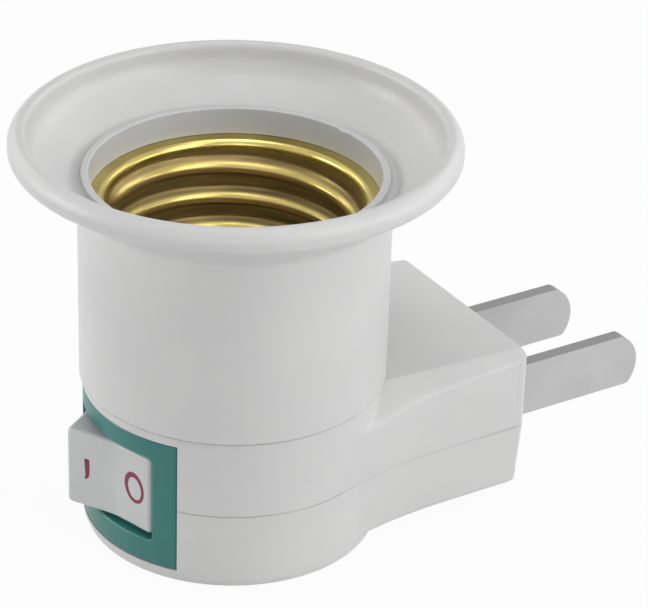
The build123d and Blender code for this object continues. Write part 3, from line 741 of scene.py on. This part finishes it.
def cap_loop(inset, z, back=1.3):
    """Section of the cap, smaller by an inset, down to a depth behind the hinge."""
    u, far_u, v = rocker_face - inset, rocker_face + 0.2 - inset, rocker_end_depth - inset
    skirt = rocker_skirt - inset
    low_u = skirt + (skirt - u) / v * back * 0.3
    corner = max(0.6 - inset, 0.12)
    section = rounded([(-far_u, -v, corner), (0, -(rocker_middle_depth - inset), 9.0), (u, -v, corner),
                       (low_u, back, 0), (-low_u, back, 0)], 10)
    return [rocker_point(a, b, z) for a, b in section]


def rocker_cap():
    """Solid cap with its low and high edges rounded."""
    soft = 0.5
    levels = [(soft * (1 - math.sin(a)), soft * (1 - math.cos(a)))
              for a in (math.pi / 2 * k / 6 for k in range(7))]
    loops = [cap_loop(inset, rocker_low + rise) for inset, rise in levels]
    loops += [cap_loop(inset, rocker_high - rise) for inset, rise in reversed(levels)]
    return skinned("rocker_cap", loops)


hollow = skinned("rocker_hollow", [cap_loop(rocker_wall, z, 2.5) for z in
                                   (rocker_low + rocker_wall, rocker_high - rocker_wall)])
stem = round_bar("rocker_stem", rocker_point(0, -4.0, switch_z), into_body * 8.4, stem_radius)
stem_bore = round_bar("rocker_bore", rocker_point(0, -3.2, switch_z), into_body * 9.0, stem_bore_radius)
top_pin = round_bar("rocker_pin", (0, hinge_y, rocker_high - 0.4), (0, 0, pin_length), pin_radius)
low_pin = round_bar("rocker_pin", (0, hinge_y, rocker_low - 1.4), (0, 0, pin_length), pin_radius)
cap = combined("rocker_moulded", rocker_cap(), ("DIFFERENCE", hollow), ("UNION", stem),
               ("DIFFERENCE", stem_bore), ("UNION", top_pin), ("UNION", low_pin))
finish_piece("rocker_moulded", cap, rocker_mat, "rocker", "rocker", sharp=30)


# Marks on the rocker, printed on its two facets
def on_face(u, z, lift):
    """Point of the rocker's face at u along it and z up, lifted off it."""
    rise = rocker_end_depth - rocker_middle_depth
    v = -(rocker_middle_depth + rise * abs(u) / rocker_face) - lift
    p = hinge + along_face * u + into_body * v
    return (p.x * MM, p.y * MM, z * MM)


def printed(name, outer, inner=None):
    """Thin print with an outline of face points and, if given, a hole."""
    lift, sunk = 0.02, -0.05
    n = len(outer)
    rings = [(outer, lift), (outer, sunk)]
    if inner:
        rings += [(inner, sunk), (inner, lift)]
        faces = [(a * n + k, a * n + (k + 1) % n, (a + 1) % 4 * n + (k + 1) % n, (a + 1) % 4 * n + k)
                 for a in range(4) for k in range(n)]
    else:
        faces = [tuple(range(n)), tuple(range(2 * n - 1, n - 1, -1))]
        faces += [(k, k + n, (k + 1) % n + n, (k + 1) % n) for k in range(n)]
    verts = [on_face(u, z, height) for loop, height in rings for u, z in loop]
    finish_piece(name, closed_mesh(name, verts, faces), print_mat, "rocker",
                 sharp=40)


def ellipse(half_width, half_height, du, dz):
    """Leaning ellipse on the rocker's face, moved by du and dz."""
    lean, steps = math.radians(12), 64
    middle_u, middle_z = 3.13 + du, 9.7 + dz
    loop = []
    for k in range(steps):
        a = 2 * math.pi * k / steps
        x, z = half_width * math.cos(a), half_height * math.sin(a)
        loop.append((middle_u + x * math.cos(lean) - z * math.sin(lean),
                     middle_z + x * math.sin(lean) + z * math.cos(lean)))
    return loop


printed("on_mark", rounded([
    (-3.46, 8.42, 0.06), (-3.2, 8.38, 0.1), (-2.93, 8.7, 0.25), (-2.84, 9.5, 0.5), (-2.87, 10.85, 0.1),
    (-3.44, 10.85, 0.1), (-3.36, 9.6, 0.5), (-3.3, 8.85, 0.1)], 4))
printed("off_mark", ellipse(1.36, 1.82, 0, 0), ellipse(0.93, 1.33, 0.05, -0.09))


# Floor and background
def seen_rays(tree):
    """One for rays from the camera and for mirrored or refracted rays, otherwise nought."""
    path = tree.nodes.new("ShaderNodeLightPath")
    seen = calc(tree, "MAXIMUM", path.outputs["Is Camera Ray"], path.outputs["Is Glossy Ray"])
    return calc(tree, "MAXIMUM", seen, path.outputs["Is Transmission Ray"])


def two_looks(tree, factor, lit, seen, out):
    """Surface from the lit shader to the seen one."""
    mix = tree.nodes.new("ShaderNodeMixShader")
    tree.links.new(factor, mix.inputs["Fac"])
    tree.links.new(lit.outputs[0], mix.inputs[1])
    tree.links.new(seen.outputs[0], mix.inputs[2])
    tree.links.new(mix.outputs[0], out.inputs["Surface"])


def glowing(tree, kind, strength):
    """White shader of a kind with a strength."""
    node = tree.nodes.new(kind)
    node.inputs["Color"].default_value = (1, 1, 1, 1)
    node.inputs["Strength"].default_value = strength
    return node


reach = 3.0
floor_mesh = bpy.data.meshes.new("floor")
floor_mesh.from_pydata([(-reach, -reach, 0), (reach, -reach, 0), (reach, reach, 0), (-reach, reach, 0)],
                       [], [(0, 1, 2, 3)])
floor = bpy.data.objects.new("floor", floor_mesh)
floor.location.z = -0.0001
scene.collection.objects.link(floor)
floor_mat = bpy.data.materials.new("floor_white")
floor_mat.use_nodes = True
tree = floor_mat.node_tree
tree.nodes.clear()
paint = tree.nodes.new("ShaderNodeBsdfDiffuse")
paint.inputs["Color"].default_value = (0.8, 0.8, 0.8, 1)
shown_white = 0.94
glow = glowing(tree, "ShaderNodeEmission", 1.0)
two_looks(tree, calc(tree, "MULTIPLY", seen_rays(tree), shown_white), paint, glow,
          tree.nodes.new("ShaderNodeOutputMaterial"))
floor_mesh.materials.append(floor_mat)

# World: even light, with the background seen white
world = bpy.data.worlds.new("studio")
world.use_nodes = True
scene.world = world
tree = world.node_tree
tree.nodes.clear()
ambient = glowing(tree, "ShaderNodeBackground", 0.129)
backdrop = glowing(tree, "ShaderNodeBackground", 1.0)
two_looks(tree, seen_rays(tree), ambient, backdrop, tree.nodes.new("ShaderNodeOutputWorld"))

# Camera at the fitted view: elevation, turn and roll, target on the picture plane, focal length
view_e, view_a, view_r = math.radians(28.69), math.radians(57.39), math.radians(1.86)
focal_px, photo_width_px, sensor_mm, distance = 3000, 648, 36, 315.03
back = Vector((math.sin(view_a) * math.cos(view_e), -math.cos(view_a) * math.cos(view_e),
               math.sin(view_e)))
level = Vector((math.cos(view_a), math.sin(view_a), 0))
rise = back.cross(level)
right = level * math.cos(view_r) + rise * math.sin(view_r)
upward = rise * math.cos(view_r) - level * math.sin(view_r)
place = (level * 9.466 + Vector((0, 0, 25.689)) + back * distance) * MM
camera_data = bpy.data.cameras.new("camera")
camera_data.sensor_width = sensor_mm
camera_data.sensor_fit = "HORIZONTAL"
camera_data.lens = focal_px * sensor_mm / photo_width_px
camera_data.clip_start = 0.01
camera_data.clip_end = 20
camera = bpy.data.objects.new("camera", camera_data)
scene.collection.objects.link(camera)
camera.matrix_world = Matrix((
    (right.x, upward.x, back.x, place.x),
    (right.y, upward.y, back.y, place.y),
    (right.z, upward.z, back.z, place.z),
    (0, 0, 0, 1)))
scene.camera = camera

# Lamps: name, metres to the right, towards the camera and up from the middle, size, power
middle = Vector((0, 0, 0.025))
front = Vector((back.x, back.y, 0)).normalized()
up = Vector((0, 0, 1))
for name, across, towards, height, size, power in (
        ("left", -0.8, 0, 0.2, 0.5, 3.35), ("left_back", -0.6, -0.5, 0.3, 0.5, 0.9),
        ("right", 0.8, 0, 0.2, 0.5, 1.6), ("right_back", 0.6, -0.5, 0.3, 0.5, 0.9),
        ("right_front", 0.6, 0.45, 0.35, 0.5, 1.75), ("right_top", 0.45, 0.3, 0.65, 0.5, 1.15),
        ("top", 0, 0, 0.9, 0.6, 2.25), ("front", 0, 0.8, 0.2, 0.6, 1.3)):
    data = bpy.data.lights.new(name, "AREA")
    data.shape = "DISK"
    data.size = size
    data.energy = power
    lamp = bpy.data.objects.new(name, data)
    scene.collection.objects.link(lamp)
    lamp.location = middle + level * across + front * towards + up * height
    lamp.rotation_euler = (middle - lamp.location).to_track_quat("-Z", "Y").to_euler()

scene.view_settings.view_transform = "Standard"
